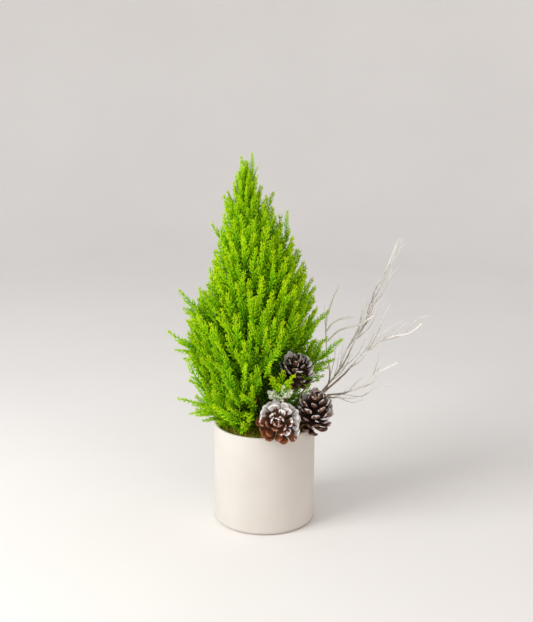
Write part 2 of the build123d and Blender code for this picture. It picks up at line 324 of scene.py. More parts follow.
def twig_material():
    """Bleached birch: brown-grey where it leaves the bundle, off-white and dusted beyond, with lenticels."""
    shader = Shader("bleached_twig", Specular_IOR_Level=0.3)
    streaks = shader.noise(700.0, 4, 0.6, shader.stretched(shader.place(), (1, 1, 0.35)))
    patches = shader.noise(60.0, 3)
    white = shader.mix(shader.spread(patches, 0.35, 0.7), (0.97, 0.96, 0.93), (0.86, 0.83, 0.77))
    bark = shader.mix(shader.spread(patches, 0.35, 0.7), (0.42, 0.35, 0.28), (0.25, 0.19, 0.14))
    dusted = shader.math("ADD", shader.value_of("frost"), shader.spread(streaks, 0.3, 0.7, -0.15, 0.15))
    colour = shader.mix(shader.spread(dusted, 0.25, 0.60), bark, white)
    colour = shader.mix(shader.spread(streaks, 0.62, 0.75, 0.0, 0.35), colour, (0.45, 0.38, 0.31))
    return shader.finish(colour, shader.spread(streaks, 0.3, 0.7, 0.6, 0.85), streaks, 0.4, 0.0003)


def moss_material():
    """Preserved moss in bake coordinates: brown litter to olive and fresh green tips."""
    shader = Shader("preserved_moss", Specular_IOR_Level=0.2)
    marks, age, tone = shader.bake_marks()
    young = shader.ramp(age, (0.0, (0.035, 0.035, 0.006)), (0.5, (0.20, 0.27, 0.010)),
                        (1.0, (0.55, 0.62, 0.02)))
    old = shader.ramp(age, (0.0, (0.030, 0.020, 0.008)), (0.5, (0.22, 0.14, 0.02)),
                      (1.0, (0.56, 0.38, 0.06)))
    colour = shader.mix(tone, young, old)
    fibres = shader.node("ShaderNodeTexNoise", {"Vector": marks, "Scale": 40.0}).outputs["Fac"]
    return shader.finish(colour, shader.spread(fibres, 0.3, 0.7, 0.75, 0.95), fibres, 0.3, 0.0003)


def plain_material(name, light, dark, scale, roughness, bump=0.3):
    """A hidden or small part's finish: two tones, uneven gloss and a little relief."""
    shader = Shader(name, Specular_IOR_Level=0.35)
    cloud = shader.noise(scale, 5, 0.6)
    colour = shader.mix(shader.spread(cloud, 0.35, 0.65), dark, light)
    rough = shader.spread(cloud, 0.3, 0.7, roughness - 0.08, roughness + 0.08)
    return shader.finish(colour, rough, cloud, bump, 0.0004)


def finish_node(name, material):
    """Put a material on a CAD node that stays in view."""
    slots = NODES[name].data.materials
    slots.clear()
    slots.append(material)


def place_piece(piece, node, material):
    """Give a piece its material, its body and its material slot, and let it stand for a CAD node."""
    piece.data.materials.append(material)
    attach(piece, BODY_OF[node])
    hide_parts(node)
    return piece


# ---------------------------------------------------------------- camera and light

CAMERA_PLACE = (0.0032, -1.400, 0.667)
CAMERA_TILT = 13.99
CAMERA_LENS = 57.65
# Each light: its place, the height on the object that it looks at, its size, power and colour
LIGHTS = {
    "key": ((-1.50, -0.90, 1.20), 0.25, 1.1, 31, (1.0, 1.0, 0.985)),
    "fill": ((0.5, -1.9, 1.3), 0.25, 1.2, 2.8, (1.0, 0.90, 0.78)),
    "bounce": ((1.60, -1.60, 1.10), 0.1, 0.8, 3.2, (1.0, 0.56, 0.28)),
}
SKY_COLOUR = (0.98, 0.98, 1.0)
SKY_STRENGTH = 0.64


def make_camera():
    """The viewing angle: a little above the pot, looking slightly down."""
    data = bpy.data.cameras.new("camera")
    data.sensor_width = 36.0
    data.lens = CAMERA_LENS
    data.clip_end = 20.0
    camera = bpy.data.objects.new("camera", data)
    camera.location = CAMERA_PLACE
    camera.rotation_euler = (math.radians(90 - CAMERA_TILT), 0, 0)
    bpy.context.scene.collection.objects.link(camera)
    bpy.context.scene.camera = camera


def add_light(name, place, target_height, size, power, colour):
    """A soft square light that looks at the object's axis."""
    data = bpy.data.lights.new(name, "AREA")
    data.size = size
    data.energy = power
    data.color = colour
    light = bpy.data.objects.new(name, data)
    way = UP * target_height - np.array(place)
    light.location = place
    light.rotation_mode = "QUATERNION"
    light.rotation_quaternion = Vector(way).to_track_quat("-Z", "Y")
    light.visible_camera = False
    bpy.context.scene.collection.objects.link(light)


def make_sweep(flat_radius, curve_radius, top):
    """A round studio sweep: a flat floor whose edge curves up into a wall all round."""
    turns = 96
    bend = np.linspace(0, math.pi / 2, 13)
    reach = np.concatenate(((0.5 * flat_radius,), flat_radius + curve_radius * np.sin(bend),
                            (flat_radius + curve_radius,)))
    rise = np.concatenate(((0,), curve_radius * (1 - np.cos(bend)), (top,)))
    around = level_ways(np.arange(turns) * 2 * math.pi / turns)
    rings = (reach[:, None, None] * around + rise[:, None, None] * UP).reshape(-1, 3)
    open_form = ring_triangles(len(reach), turns)[:-turns, ::-1]
    return make_mesh("floor", np.concatenate((np.zeros((1, 3)), rings)), open_form)


def make_studio():
    """A pale floor that sweeps up all round, an even sky, and the soft lights."""
    floor = make_sweep(2.0, 1.2, 2.3)
    shader = Shader("pale_floor", Roughness=0.8, Specular_IOR_Level=0.15)
    cloud = shader.noise(2.0, 3)
    shader.finish(shader.mix(shader.spread(cloud, 0.3, 0.7), (0.86, 0.84, 0.82), (0.89, 0.87, 0.85)))
    floor.data.materials.append(shader.material)
    world = bpy.data.worlds.new("surround")
    world.use_nodes = True
    sky = world.node_tree.nodes["Background"]
    sky.inputs["Color"].default_value = (*SKY_COLOUR, 1)
    sky.inputs["Strength"].default_value = SKY_STRENGTH
    bpy.context.scene.world = world
    for name, settings in LIGHTS.items():
        add_light(name, *settings)
    view = bpy.context.scene.view_settings
    view.view_transform = "Standard"
    view.look = "None"


# ---------------------------------------------------------------- foliage

PLUME_LENGTH = 55 * MM
PLUME_REACH = 10.5 * MM
SHORT_PLUME = 27 * MM
THIN_STEM = 0.9 * MM


def plume(seed, side_count, face_count, leaflet_gap, length=PLUME_LENGTH):
    """One feathery tip along +Z: a stem, four ranks of twiglets, and scale leaves along each of them.

    Returns points, triangles, and each vertex's age mark, 0 on old wood and 1 on new growth."""
    dice = np.random.default_rng(seed)
    gathered = Geometry()
    heights = np.linspace(0, 1, 7)
    sway = dice.uniform(0, 6)
    stem = np.stack((0.02 * np.sin(heights * 5 + sway), 0.02 * np.cos(heights * 4 + sway), heights), 1)
    stem *= length
    thick = np.interp(heights, (0, 0.8, 1), (0.95, 0.95, 0.5)) * MM
    points, triangles, way = closed_tubes(stem[None], thick[None], thick[None], 4)
    gathered.add(points, triangles, np.stack((0.04 + 0.90 * way ** 1.6, way), 1))

    share, around, rank_size = [], [], []
    for rank in range(4):
        count = face_count if rank % 2 else side_count
        places = np.linspace(0.05, 0.94, count) + (0.5 * (rank // 2) + 0.25 * (rank % 2)) * 0.89 / count
        share.append(np.minimum(places, 0.955))
        around.append(rank * math.pi / 2 + dice.normal(0, 0.20, count) + 0.5 * places)
        rank_size.append(np.full(count, 0.72 if rank % 2 else 1.0))
    share, around, rank_size = (np.concatenate(rows) for rows in (share, around, rank_size))
    twiglets = len(share)
    roots = np.stack([np.interp(share, heights, stem[:, axis]) for axis in range(3)], 1)
    outward = level_ways(around)
    size = PLUME_REACH * np.interp(share, (0, 0.22, 0.65, 0.96), (0.72, 1.0, 0.88, 0.52))
    size *= rank_size * dice.uniform(0.82, 1.15, twiglets)
    lean = np.radians(np.interp(share, (0, 0.5, 1), (52, 47, 36)) + dice.normal(0, 6, twiglets))
    start_way = outward * np.sin(lean)[:, None] + UP * np.cos(lean)[:, None]
    end_way = unit(start_way + UP * 0.35 + dice.normal(0, 0.12, (twiglets, 3)))
    steps = np.array((0, 0.16, 0.34, 0.52, 0.70, 0.87, 1.0))
    ease = steps[None, :, None]
    curve = start_way[:, None] * ease * (1 - 0.5 * ease) + end_way[:, None] * 0.5 * ease ** 2
    lines = roots[:, None] + curve * size[:, None, None]
    radii = np.broadcast_to(np.array((0.4, 0.98, 0.82, 1.02, 0.80, 0.86, 0.2)) * MM, (twiglets, 7))
    radii = radii * np.clip(size / PLUME_REACH, 0.65, 1)[:, None]
    points, triangles, way = closed_tubes(lines, radii, radii, 4)
    height_mark = np.repeat(share, len(points) // twiglets)
    gathered.add(points, triangles, np.stack((0.10 + 0.34 * height_mark + 0.52 * way, height_mark), 1))

    leaf_roots, leaf_ways, leaf_sizes, leaf_ages = [], [], [], []
    for index in range(twiglets):
        count = max(int(size[index] / leaflet_gap), 1)
        places = (np.arange(count) + 0.75) / (count + 0.25)
        middle = np.stack([np.interp(places, steps, lines[index, :, axis]) for axis in range(3)], 1)
        along = unit(start_way[index] * (1 - places[:, None]) + end_way[index] * places[:, None])
        flat = unit(np.cross(np.cross(start_way[index], UP), along))
        hand = np.where(np.arange(count) % 2, 1.0, -1.0)[:, None]
        tilt = np.cross(along, flat) * dice.normal(0, 0.5, (count, 1))
        leaf_roots.append(middle)
        leaf_ways.append(unit(along + flat * hand * 0.8 + tilt))
        leaf_sizes.append((3.3 - 1.1 * places) * MM * dice.uniform(0.8, 1.2, count))
        leaf_ages.append(0.22 + 0.34 * share[index] + 0.36 * places)
    roots, ways = np.concatenate(leaf_roots), np.concatenate(leaf_ways)
    sizes, ages = np.concatenate(leaf_sizes), np.concatenate(leaf_ages)
    lines = roots[:, None] + ways[:, None] * (np.array((0, 0.6, 1.0))[None, :, None] * sizes[:, None, None])
    radii = np.broadcast_to(np.array((0, 0.68, 0)) * MM, (len(roots), 3))
    points, triangles, way = closed_tubes(lines, radii, radii, 3)
    marks = np.repeat(ages, 5) + 0.10 * way
    gathered.add(points, triangles, np.stack((marks, marks), 1))
    points, triangles, marks = gathered.arrays()
    return points, triangles, np.clip(marks[:, 0], 0.02, 0.98)


def place_plume(gathered, templates, base, way, length, tone, bend, dice, made_length=PLUME_LENGTH):
    """A copy of one of the templates, turned to its way, scaled to its length, bent and toned; the tone
    carries painted light and shade.
    """
    points, triangles, ages = templates[dice.integers(len(templates))]
    side = unit(np.cross(way, UP) + 1e-4)
    rise = np.cross(side, way)
    roll = dice.uniform(0, 2 * math.pi)
    first = side * math.cos(roll) + rise * math.sin(roll)
    axes = np.stack((first, np.cross(way, first), way))
    share = np.clip(points[:, 2:] / made_length, 0, 1.2)
    made = base + (points * (length / made_length)) @ axes + share ** 2 * (bend * length)
    tones_and_painted_shade = tone + 0.05 * np.sin(np.arange(len(points)) * 2.4)
    gathered.add(made, triangles, np.stack((ages, np.clip(tones_and_painted_shade, 0.01, 0.99)), 1))


def add_stem(gathered, line, start_radius, end_radius, sides=5):
    """A tapered woody stem along a line."""
    line = np.asarray(line)
    radii = np.linspace(start_radius, end_radius, len(line))[None]
    points, triangles, way = closed_tubes(line[None], radii, radii, sides)
    gathered.add(points, triangles, np.stack((0.01 + 0.05 * way, np.full(len(way), 0.3)), 1))


def curve_between(start, end, start_way, end_way, count=8):
    """A smooth line that leaves start and reaches end in the given ways."""
    reach = np.linalg.norm(end - start) / 3
    knots = (start, start + start_way * reach, end - end_way * reach, end)
    t = np.linspace(0, 1, count)[:, None]
    return (knots[0] * (1 - t) ** 3 + knots[1] * 3 * t * (1 - t) ** 2
            + knots[2] * 3 * t ** 2 * (1 - t) + knots[3] * t ** 3)


def trunk_middle(heights):
    """The trunk's axis at one height or at many."""
    share = (np.asarray(heights) - TRUNK_LOW[2]) / (TRUNK_HIGH[2] - TRUNK_LOW[2])
    return TRUNK_LOW + (TRUNK_HIGH - TRUNK_LOW) * share[..., None]


def branch_ends(name):
    """Root and tip of a branch node: its point nearest the trunk, and the point furthest from that."""
    points = node_points(name)
    off_trunk = np.linalg.norm((points - trunk_middle(points[:, 2]))[:, :2], axis=1)
    root = points[off_trunk.argmin()]
    if name == "leader":
        root = points[points[:, 2].argmin()]
    tip = points[np.linalg.norm(points - root, axis=1).argmax()]
    return root, tip


trunk_points = node_points("trunk")
TRUNK_LOW = trunk_points[trunk_points[:, 2] < trunk_points[:, 2].min() + 2 * MM].mean(0)
TRUNK_HIGH = trunk_points[trunk_points[:, 2] > trunk_points[:, 2].max() - 2 * MM].mean(0)
LOOSE = sorted(name for name in NODES if name.startswith("loose_spray"))
CROWN_BRANCHES = sorted(name for name in NODES if "_branch_" in name) + ["leader"]
ENDS = {name: branch_ends(name) for name in CROWN_BRANCHES + LOOSE}
# How much the crown's radius is cut where it is widest, so that the plumes' tips end at the branches' tips
CROWN_TRIM = 7 * MM
# How far the crown's middle drifts to the right of the trunk, by the share of the crown's height
CROWN_DRIFT = ((0.0, -1.0), (0.24, -3.0), (0.38, 1.0), (0.50, 8.0), (0.62, 9.0), (0.74, 5.0), (0.84, -4.0),
               (1.0, -4.0))
# The crown's shells of plumes, from the outside in: how many, their share of its radius (which also darkens
# their tone as painted shade), and the seed
CROWN_SHELLS = ((540, 1.0, 11), (360, 0.76, 12), (210, 0.50, 13))
# The way from the object to the viewer
FORWARD = unit(np.array((0.0, -1.0, 0.24)))
# The gap in the crown before each of these nodes: the share of its height that the gap starts at, then
# its margin and depth in millimetres
GAPS = {"cone_front": (0, 6, 90), "cone_right": (0, 6, 90), "cone_upper": (0, 4, 90),
        "frosted_sprig": (0.68, 12, 70)}


def crown_outline():
    """The crown's mean radius about the trunk at the height of each whorl's tips, foot to apex."""
    rings = {}
    for name in CROWN_BRANCHES[:-1]:
        tip = ENDS[name][1]
        radius = np.linalg.norm((tip - trunk_middle(tip[2]))[:2])
        rings.setdefault(name.split("_")[0], []).append((tip[2], radius))
    rows = sorted(tuple(np.mean(ring, 0)) for ring in rings.values())
    rows = [(height, radius - CROWN_TRIM * blend_step(radius, 60 * MM, 85 * MM)) for height, radius in rows]
    skirt_height, skirt_radius = rows[0]
    apex = ENDS["leader"][1][2]
    rows.insert(0, (skirt_height - 30 * MM, skirt_radius * 0.80))
    rows.append((apex - 36 * MM, 17 * MM))
    rows.append((apex, 2 * MM))
    return np.array(rows)


CROWN = crown_outline()


def crown_radius(heights):
    """The crown's radius at each height."""
    return np.interp(heights, CROWN[:, 0], CROWN[:, 1])


def crown_middle(heights):
    """The middle of the crown at each height: the trunk's axis, and the crown's drift from it."""
    share = (heights - CROWN[0, 0]) / (CROWN[-1, 0] - CROWN[0, 0])
    shares, drifts = np.array(CROWN_DRIFT).T
    middle = trunk_middle(heights)
    middle[:, 0] += np.interp(share, shares, drifts) * MM
    return middle


def in_gap(points, node, low_share, margin, depth):
    """True for points in front of a node's upper part, in the gap that the front of the crown leaves."""
    low, high = (np.array(corner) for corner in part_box(node))
    low[2] += (high[2] - low[2]) * low_share
    middle, half = (low + high) / 2, (high - low) / 2 + margin * MM
    offset = points - middle
    ahead = offset @ FORWARD
    across = (offset - ahead[:, None] * FORWARD) / half
    near = (ahead > -half[1]) & (ahead < depth * MM)
    return near & (across[:, 0] ** 2 + across[:, 2] ** 2 < 1)


def keep_clear(bases, tips):
    """True for plumes that stay off the pine cones, the sprig and the twigs."""
    keep = np.ones(len(tips), bool)
    for share in (0.25, 0.45, 0.65, 0.85, 1.0):
        at = bases + (tips - bases) * share
        for node, gap in GAPS.items():
            keep &= ~in_gap(at, node, *gap)
    in_fan = (tips[:, 0] > 76 * MM) & (tips[:, 2] < 330 * MM) & (tips[:, 1] > 2 * MM) & (tips[:, 1] < 60 * MM)
    bundle_gap, _ = segment_gap(tips, BUNDLE_FOOT, BUNDLE_NECK + BUNDLE_WAY * 20 * MM)
    return keep & ~in_fan & (bundle_gap > 13 * MM)


def crown_plumes(count, depth, seed):
    """Tips spread evenly over the crown, with the way that each one points."""
    dice = np.random.default_rng(seed)
    grid = np.linspace(CROWN[0, 0], CROWN[-1, 0] - 12 * MM, 400)
    area = np.cumsum(crown_radius(grid) + 10 * MM)
    picks = (np.arange(count) + dice.uniform(0.1, 0.9, count)) / count
    heights = np.interp(picks * area[-1], area, grid)
    around = np.arange(count) * GOLDEN_ANGLE + dice.normal(0, 0.06, count)
    outward = level_ways(around)
    stand_out = dice.normal(0, 0.045, count).clip(-0.09, 0.10)
    radius = (crown_radius(heights) * (1 + stand_out) - 2 * MM) * depth
    tips = crown_middle(heights) + outward * radius[:, None]
    foot, apex = CROWN[0, 0], CROWN[-1, 0]
    rise = (heights - foot) / (apex - foot)
    lean = np.radians(np.interp(rise, (0, 0.08, 0.2, 0.4, 0.6, 1), (82, 62, 48, 38, 29, 14)))
    lean += np.radians(dice.normal(0, 7, count))
    spun = level_ways(around + dice.normal(0, 0.22, count))
    ways = unit(spun * np.sin(lean)[:, None] + UP * np.cos(lean)[:, None])
    lengths = PLUME_LENGTH * np.interp(rise, (0, 0.3, 0.7, 1), (0.86, 1.08, 0.95, 0.55))
    lengths *= dice.uniform(0.85, 1.18, count)
    # tone: random variety plus painted light and shade, lighter high up and on plumes that stand out, darker
    # on the inner shells
    tones_and_painted_shade = 0.55 + 0.40 * rise + 0.22 * (stand_out / 0.09) + dice.normal(0, 0.17, count)
    tones_and_painted_shade = np.clip(tones_and_painted_shade, 0.02, 0.98)
    return tips, ways, lengths, tones_and_painted_shade * depth ** 2, outward


def understory(count, seed):
    """Shaded plumes low on the right, behind the pine cones, which close the gaps between them."""
    dice = np.random.default_rng(seed)
    tips = dice.uniform((26, -22, 168), (62, 0, 212), (count, 3)) * MM
    ways = unit(dice.uniform((0.1, -0.6, 0.5), (0.8, 0.0, 1.0), (count, 3)))
    outward = unit(tips * (1, 1, 0))
    # the low tones are painted shade, for plumes behind the pine cones
    return tips, ways, dice.uniform(30, 42, count) * MM, dice.uniform(0.05, 0.5, count), outward


def build_crown():
    """Every branch of the crown as its own piece: stem, side stems, and the plumes nearest to it."""
    dense = [plume(seed, 10, 7, 2.1 * MM) for seed in range(7)]
    light = [plume(20 + seed, 9, 5, 4.0 * MM) for seed in range(4)]
    dice = np.random.default_rng(5)
    shapes = {name: Geometry() for name in CROWN_BRANCHES}
    shells = [crown_plumes(*shell) for shell in CROWN_SHELLS] + [understory(26, 14)]
    for templates, shell in zip((dense, light, light, light), shells):
        fill_shell(shapes, templates, shell, dice)
    material = foliage_material("scale_leaves")
    for name, shape in shapes.items():
        root, tip = ENDS[name]
        along = unit(tip - root)
        if name == "leader":
            build_leader(shape, root, tip, dense, dice)
        else:
            thick = min(1.5 * MM, 0.012 * np.linalg.norm(tip - root) + 0.2 * MM)
            stop = tip - along * 42 * MM
            add_stem(shape, curve_between(root, stop, along, along), thick, THIN_STEM)
            place_plume(shape, dense, stop, along, 50 * MM, 0.8, UP * 0.1, dice)
        place_piece(make_mesh(f"{name}_foliage", *shape.arrays()), name, material)
    return dense, material


def fill_shell(shapes, templates, shell, dice):
    """Give each plume of a shell to the branch nearest its foot, with a side stem that holds it."""
    tips, ways, lengths, tones_and_painted_shade, outward = shell
    bases = tips - ways * lengths[:, None]
    keep = keep_clear(bases, tips)
    ways, lengths, tones_and_painted_shade, outward, bases = (rows[keep] for rows in (ways, lengths, tones_and_painted_shade, outward, bases))
    gaps, shares = zip(*(segment_gap(bases, *ENDS[name]) for name in CROWN_BRANCHES))
    owner = np.argmin(gaps, 0)
    for index, name in enumerate(CROWN_BRANCHES):
        mine = owner == index
        if not mine.any():
            continue
        root, tip = ENDS[name]
        along = unit(tip - root)
        bends = outward[mine] * -0.05 + UP * 0.10
        start_ways = unit(ways[mine] - bends * 0.4)
        for row in zip(bases[mine], start_ways, lengths[mine], tones_and_painted_shade[mine], bends):
            place_plume(shapes[name], templates, *row, dice)
        for base, way, share in zip(bases[mine], start_ways, shares[index][mine]):
            fork = root + (tip - root) * max(share - 0.18, 0.04)
            add_stem(shapes[name], curve_between(fork, base, along, way), 0.95 * MM, 0.8 * MM, 4)


def build_leader(shape, root, tip, templates, dice):
    """The top of the tree: a stem with steep little plumes, two thin tips, and a spike at its right."""
    along = unit(tip - root)
    reach = np.linalg.norm(tip - root)
    stop = root + along * reach * 0.62
    add_stem(shape, curve_between(root, stop, along, along), 2.2 * MM, THIN_STEM)
    # the high tones on the leader are painted light, as on the top of the crown
    place_plume(shape, templates, stop, along, reach * 0.38, 0.95, UP * 0, dice)
    left = unit(along + np.array((-0.42, 0.05, 0)))
    fork = root + along * reach * 0.50
    place_plume(shape, templates, fork, left, reach * 0.46, 0.9, UP * 0.02, dice)
    for index in range(11):
        spin = index * GOLDEN_ANGLE
        way = unit(along + 0.42 * np.array((math.cos(spin), math.sin(spin), 0)))
        base = root + along * reach * (0.04 + 0.056 * index)
        place_plume(shape, templates, base, way, (34 - 1.4 * index) * MM, 0.9, UP * 0.08, dice)
    spike = root + np.array((52, -6, -44)) * MM
    place_plume(shape, templates, spike, UP, 46 * MM, 0.8, UP * 0, dice)
    add_stem(shape, curve_between(root - UP * 62 * MM, spike, UP, UP), 1.1 * MM, 0.8 * MM)


def build_loose_sprays(templates, material):
    """The sprays that stand out of the crown: a curved stem, plumes up its sides, and one at its tip."""
    plume_count = 27
    last = 44 * MM
    for order, name in enumerate(LOOSE):
        dice = np.random.default_rng(70 + order)
        root, tip = ENDS[name]
        along = unit(tip - root)
        side = unit(np.cross(along, UP))
        rise = np.cross(side, along)
        stop = tip - along * last
        shape = Geometry()
        add_stem(shape, curve_between(root, stop, along, along, 10), 1.5 * MM, THIN_STEM)
        place_plume(shape, templates, stop, along, last, 0.9, UP * 0.04, dice)
        for index in range(plume_count):
            share = 0.34 + 0.66 * index / plume_count
            spin = index * GOLDEN_ANGLE + dice.normal(0, 0.2)
            off = side * 0.65 * math.cos(spin) + rise * math.sin(spin)
            way = unit(along + off * 0.80 + UP * 0.08)
            length = (56 - 24 * share) * MM * dice.uniform(0.85, 1.1)
            # the tone rises along the spray: painted shade, darker where the spray leaves the crown
            place_plume(shape, templates, root + (stop - root) * share, way, length, 0.5 + 0.4 * share,
                        UP * 0.08, dice)
        place_piece(make_mesh(f"{name}_foliage", *shape.arrays()), name, material)


# ---------------------------------------------------------------- the sprig

SPRIG_LENGTH = 44 * MM


def build_frosted_sprig():
    """A short bushy sprig of the same foliage, with snow flocked on its lower tips, and its stick."""
    points = node_points("frosted_sprig")
    foot = points[points[:, 2].argmin()]
    tip = points[points[:, 2].argmax()]
    along = unit(tip - foot)
    neck = tip - along * SPRIG_LENGTH
    side = unit(np.cross(along, FORWARD))
    front = np.cross(side, along)
    side, front = side * np.sign(side[0]), front * np.sign(-front[1])
    middle = neck + along * 15 * MM + front * 12 * MM + side * 6 * MM
    templates = [plume(50 + seed, 6, 4, 2.6 * MM, SHORT_PLUME) for seed in range(4)]
    dice = np.random.default_rng(31)
    green, snowy = Geometry(), Geometry()
    add_stem(green, np.linspace(foot, neck + along * 8 * MM, 8), 1.15 * MM, 0.8 * MM)
    for index in range(9):
        spin = index * GOLDEN_ANGLE
        way = unit(along + side * (0.62 * math.cos(spin) + 0.05) + front * (0.20 + 0.35 * math.sin(spin)))
        start = middle - along * 1.5 * index * MM
        length = (31 - 0.7 * index) * MM
        add_stem(green, curve_between(neck, start, along, way), THIN_STEM, 0.8 * MM, 4)
        place_plume(green, templates, start, way, length, 0.99, UP * 0.05, dice, SHORT_PLUME)
    for index in range(13):
        spin = index * GOLDEN_ANGLE
        way = unit(0.25 * along + side * 0.9 * math.cos(spin) + front * (0.75 + 0.5 * math.sin(spin)))
        start = middle - along * (1 + 0.9 * index) * MM
        length = (21 - 0.3 * index) * MM
        add_stem(snowy, curve_between(neck, start, along, way), THIN_STEM, 0.8 * MM, 4)
        place_plume(snowy, templates, start, way, length, 0.99, UP * 0.15, dice, SHORT_PLUME)
    leaves, flocked = foliage_material("sprig_leaves"), foliage_material("flocked_leaves", snow=True)
    for name, shape, material in (("greenery", green, leaves), ("snow", snowy, flocked)):
        piece = make_mesh(f"frosted_sprig_{name}", *shape.arrays())
        place_piece(piece, "frosted_sprig", material)


# ---------------------------------------------------------------- pine cones

# The side that the snow was sprayed from
SPRAY_FROM = unit(np.array((0.42, -0.10, 0.90)))
# Each pine cone: the way its tip points; its centre, half its length and its radius in millimetres; how many
# scales it has, how they crowd towards its base (above 1) or its tip (below 1), and how many degrees less
# they open; how much frost is on their rims and faces and how dense it is; the wood's colour, and the seed
PINE_CONES = {
    "cone_front": dict(points_to=(-0.10, -0.93, 0.38), centre=(20, -77, 175), half_length=30, radius=31.5,
                       scale_count=60, crowding=1.05, closing=4, rim_frost=0.62, face_frost=1.10,
                       frost_cover=0.97, wood_colour=(0.40, 0.125, 0.043), seed=47),
    "cone_right": dict(points_to=(0.15, -0.45, 0.88), centre=(71.5, -43, 183), half_length=38.5, radius=28.5,
                       scale_count=66, crowding=0.85, closing=18, rim_frost=1.05, face_frost=0.90,
                       frost_cover=0.66, wood_colour=(0.24, 0.105, 0.058), seed=42),
    "cone_upper": dict(points_to=(0.10, -0.50, 0.86), centre=(46.5, -37, 243), half_length=27, radius=25.5,
                       scale_count=52, crowding=0.90, closing=12, rim_frost=1.0, face_frost=0.95,
                       frost_cover=0.70, wood_colour=(0.17, 0.075, 0.048), seed=43),
}


def build_pine_cone(name, points_to, centre, half_length, radius, scale_count, crowding, closing, rim_frost,
                    face_frost, frost_cover, wood_colour, seed):
    """An open pine cone: a spiral of woody scales on a core, with frost where spray would settle."""
    dice = np.random.default_rng(seed)
    axis = unit(np.array(points_to))
    middle = np.array(centre) * MM
    length = 2 * half_length * MM
    radius = radius * MM
    base = middle - axis * length / 2
    first = unit(np.cross(axis, (0.3, 0.2, 1.0)))
    second = np.cross(axis, first)
    order = (np.arange(scale_count) + 0.5) / scale_count
    rise = order ** crowding
    around = np.arange(scale_count) * GOLDEN_ANGLE + dice.normal(0, 0.17, scale_count)
    outward = first * np.cos(around)[:, None] + second * np.sin(around)[:, None]
    fullness = np.sin(np.pi * (0.25 + 0.67 * rise)) ** 0.62 * np.interp(rise, (0, 0.78, 1), (1, 1, 0.24))
    opening = np.interp(rise, (0, 0.25, 0.6, 0.85, 1), (114, 94, 78, 58, 22))
    opening = np.radians(opening - closing + dice.normal(0, 8, scale_count))
    end_radius = radius * fullness * dice.uniform(0.88, 1.10, scale_count)
    end_height = length * (0.03 + 0.95 * rise + dice.normal(0, 0.018, scale_count))
    core_radius = 0.20 * radius * (1.1 - 0.8 * rise)
    span = (end_radius - core_radius) / np.maximum(np.sin(opening), 0.30)
    root_height = np.clip(end_height - span * np.cos(opening), 0.02 * length, 0.96 * length)
    roots = base + axis * root_height[:, None] + outward * core_radius[:, None]
    ends = base + axis * end_height[:, None] + outward * end_radius[:, None]
    chord = ends - roots
    span = np.linalg.norm(chord, axis=1)
    inward = unit(np.cross(np.cross(chord, axis), chord))
    inward = unit(inward + np.cross(unit(chord), inward) * dice.normal(0, 0.20, scale_count)[:, None])
    steps = np.array((0, 0.12, 0.26, 0.40, 0.54, 0.68, 0.79, 0.87, 0.93, 0.975, 1.0))
    sag = (0.16 * np.sin(np.pi * steps * 0.95) - 0.10 * steps ** 4)[None, :, None] * span[:, None, None]
    lines = roots[:, None] + chord[:, None] * steps[None, :, None] - inward[:, None] * sag
    width = np.interp(steps, (0, 0.1, 0.35, 0.60, 0.80, 0.90, 0.97, 1),
                      (0.25, 0.34, 0.55, 0.84, 1.0, 0.92, 0.62, 0.0))
    half_width = radius * np.interp(rise, (0, 0.2, 0.7, 0.9, 1), (0.155, 0.19, 0.20, 0.17, 0.12))
    half_width = half_width * dice.uniform(0.82, 1.16, scale_count)
    thick = np.interp(steps, (0, 0.5, 0.80, 0.92, 0.98, 1), (0.6, 0.7, 1.35, 1.6, 1.05, 0.0))
    side_radii = half_width[:, None] * width[None]
    rise_radii = np.broadcast_to(thick * radius / 28, side_radii.shape)
    points, triangles, way = closed_tubes(lines, side_radii, rise_radii, 12, inward[:, None])
    owner = np.repeat(np.arange(scale_count), len(points) // scale_count)
    across = np.einsum("ij,ij->i", points - (roots[owner] + chord[owner] * way[:, None]),
                       np.cross(unit(chord), inward)[owner]) / half_width[owner]
    points = points + inward[owner] * (0.30 * half_width[owner] * across ** 2)[:, None]
    crook = (np.sin(way * 9 + owner * 1.7) * 0.35 + np.sin(across * 5 + owner * 2.3) * 0.25 * way) * MM
    points = points + inward[owner] * crook[:, None]
    rim = np.maximum(blend_step(way, 0.76, 0.95), blend_step(np.abs(across), 0.62, 0.95) * way)
    lift = np.einsum("ij,ij->i", points - lines_at(lines, owner, way), inward[owner])
    inner_face = blend_step(lift, 0, 0.4 * MM)
    above = blend_step((points - middle) @ SPRAY_FROM / radius, -0.60, 0.10)
    skyward = blend_step(outward[owner] @ SPRAY_FROM, -0.8, 0.2)
    streaks = 0.80 + 0.34 * np.sin(across * 6.5 + owner * 2.1) * (1 - blend_step(way, 0.86, 1.0))
    frost = (rim * (0.26 + rim_frost * above)
             + inner_face * blend_step(way, 0.30, 0.62) * (0.05 + face_frost * above * skyward))
    heart = 1 - 0.40 * blend_step(rise[owner], 0.76, 0.92)
    frost = frost * streaks * heart * dice.uniform(0.65, 1.25, scale_count)[owner]
    used = clear_of_pot(points, owner, scale_count)[owner]
    renumber = np.cumsum(used) - 1
    triangles = renumber[triangles[used[triangles[:, 0]]]]
    core_points, core_triangles = cone_core(base, axis, length, radius)
    piece = make_mesh(f"{name}_scales", np.concatenate((points[used], core_points)),
                      np.concatenate((triangles, core_triangles + used.sum())))
    # the core takes reach 0, the near-black end of the wood ramp: partly dark wood, partly painted shade
    marks = (("reach", way, 0.0), ("frost", frost, 0.0), ("across", across, 0.0), ("owner", owner, -1.0))
    for mark, values, on_core in marks:
        add_values(piece, mark, np.concatenate((values[used], np.full(len(core_points), on_core))))
    material = cone_material(name.replace("cone", "frosted_scales"), frost_cover, wood_colour)
    place_piece(piece, name, material)


